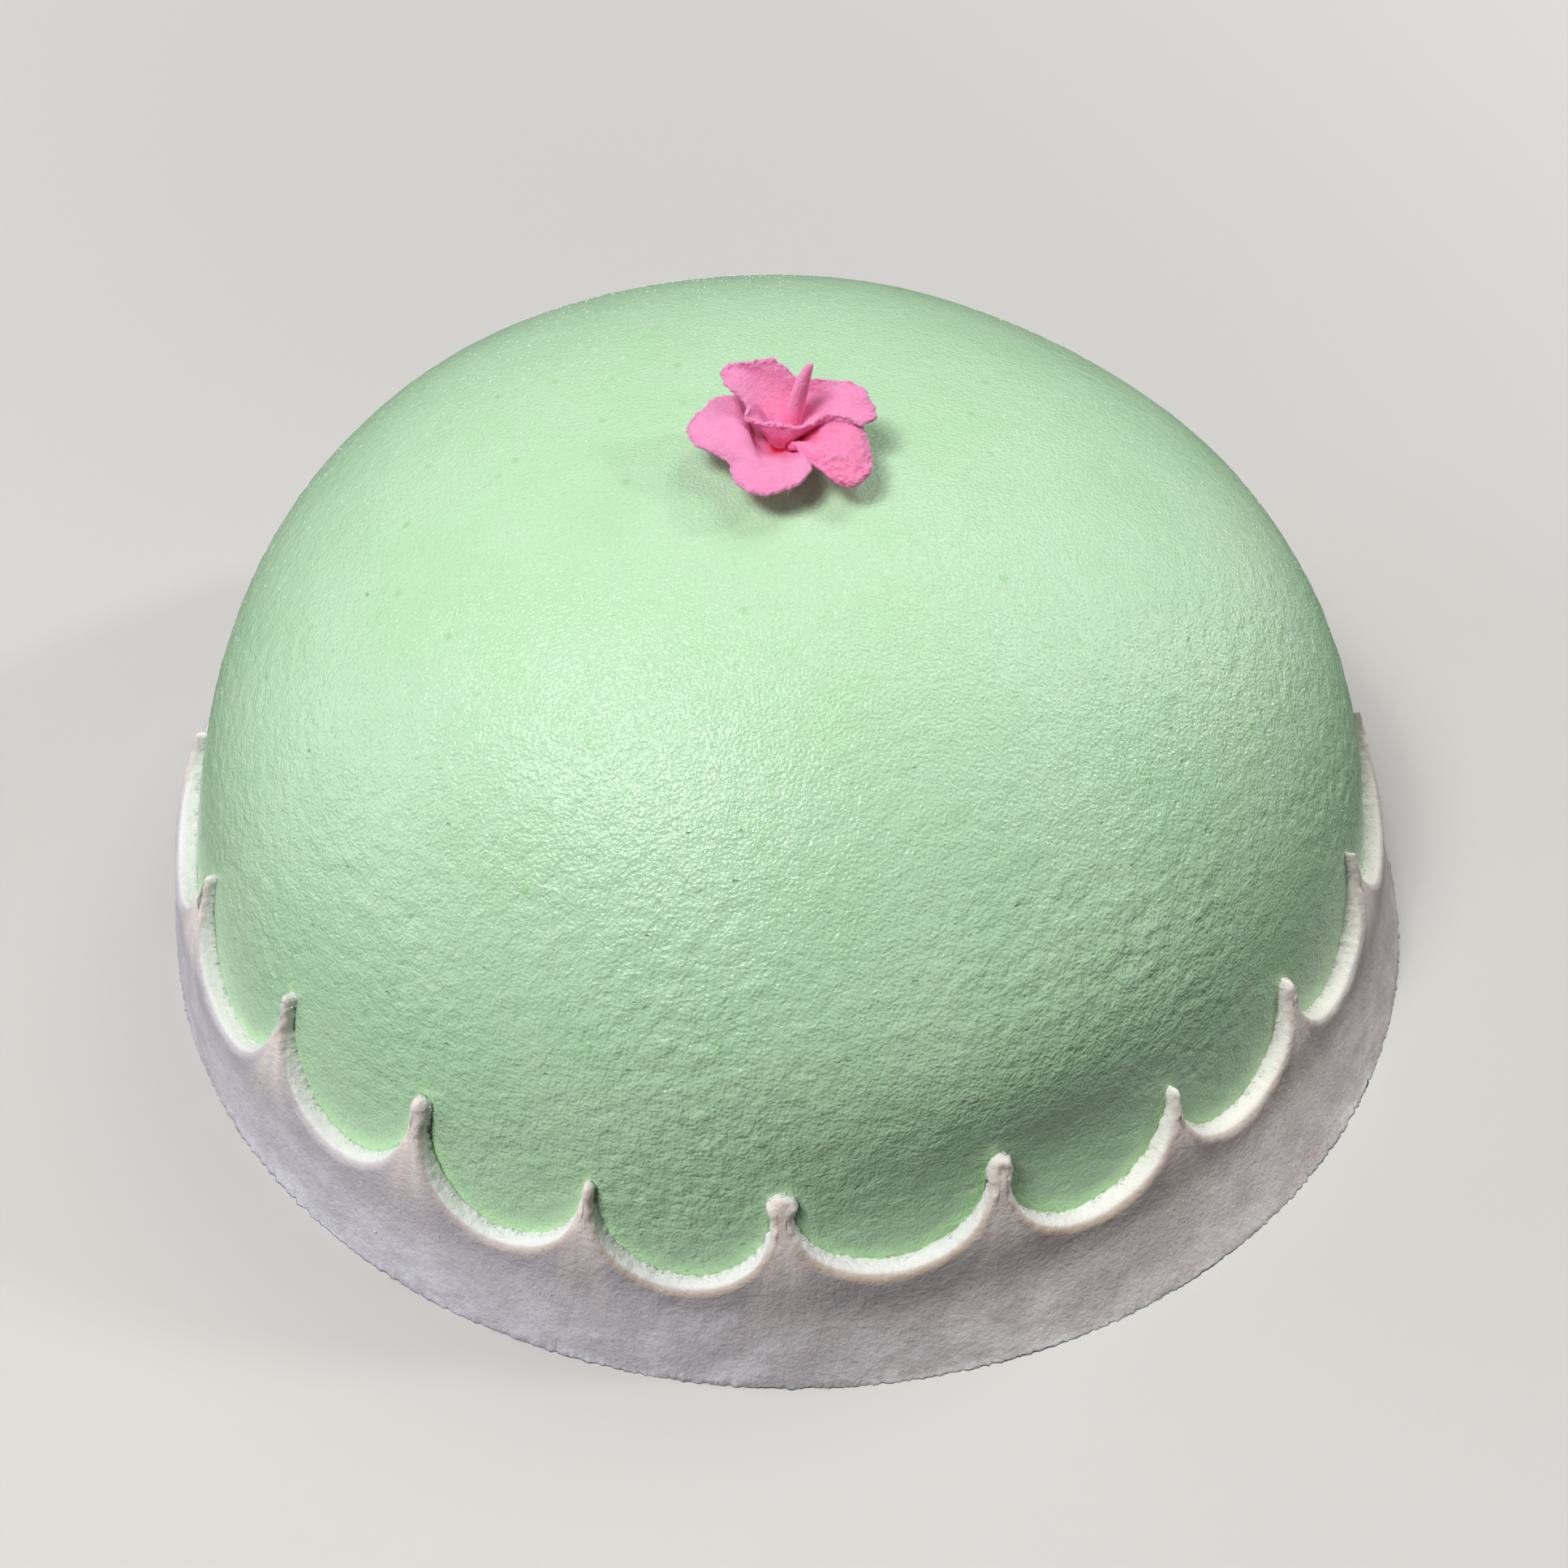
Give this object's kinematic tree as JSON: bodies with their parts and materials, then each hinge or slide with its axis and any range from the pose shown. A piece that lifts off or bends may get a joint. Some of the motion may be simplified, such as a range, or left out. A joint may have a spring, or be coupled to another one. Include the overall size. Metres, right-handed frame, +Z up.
{
  "type": "princess cake",
  "caption": "Whole round princess cake: a dome under pale green marzipan, a scalloped strip of white marzipan round its foot and a pink marzipan flower on top.",
  "frame": {"origin": "centre of the cake's round foot, on the surface it rests on", "axes": "+Z up, -Y towards the front of the cake, +X towards its right-hand side"},
  "size_m": [0.23, 0.23, 0.1106],
  "materials": {
    "green_marzipan": "soft matt, finely pebbled, dusted with sugar",
    "white_marzipan": "matt, crumbly along its cut edge",
    "pink_marzipan": "soft satin, crumbly at the petals' edges"
  },
  "bodies": {
    "root": {"dome": "green_marzipan", "scalloped_strip": "white_marzipan", "pistil": "pink_marzipan", "petal_lip": "pink_marzipan", "petal_back": "pink_marzipan", "petal_left": "pink_marzipan", "petal_front": "pink_marzipan", "petal_side": "pink_marzipan"}
  },
  "joints": []
}
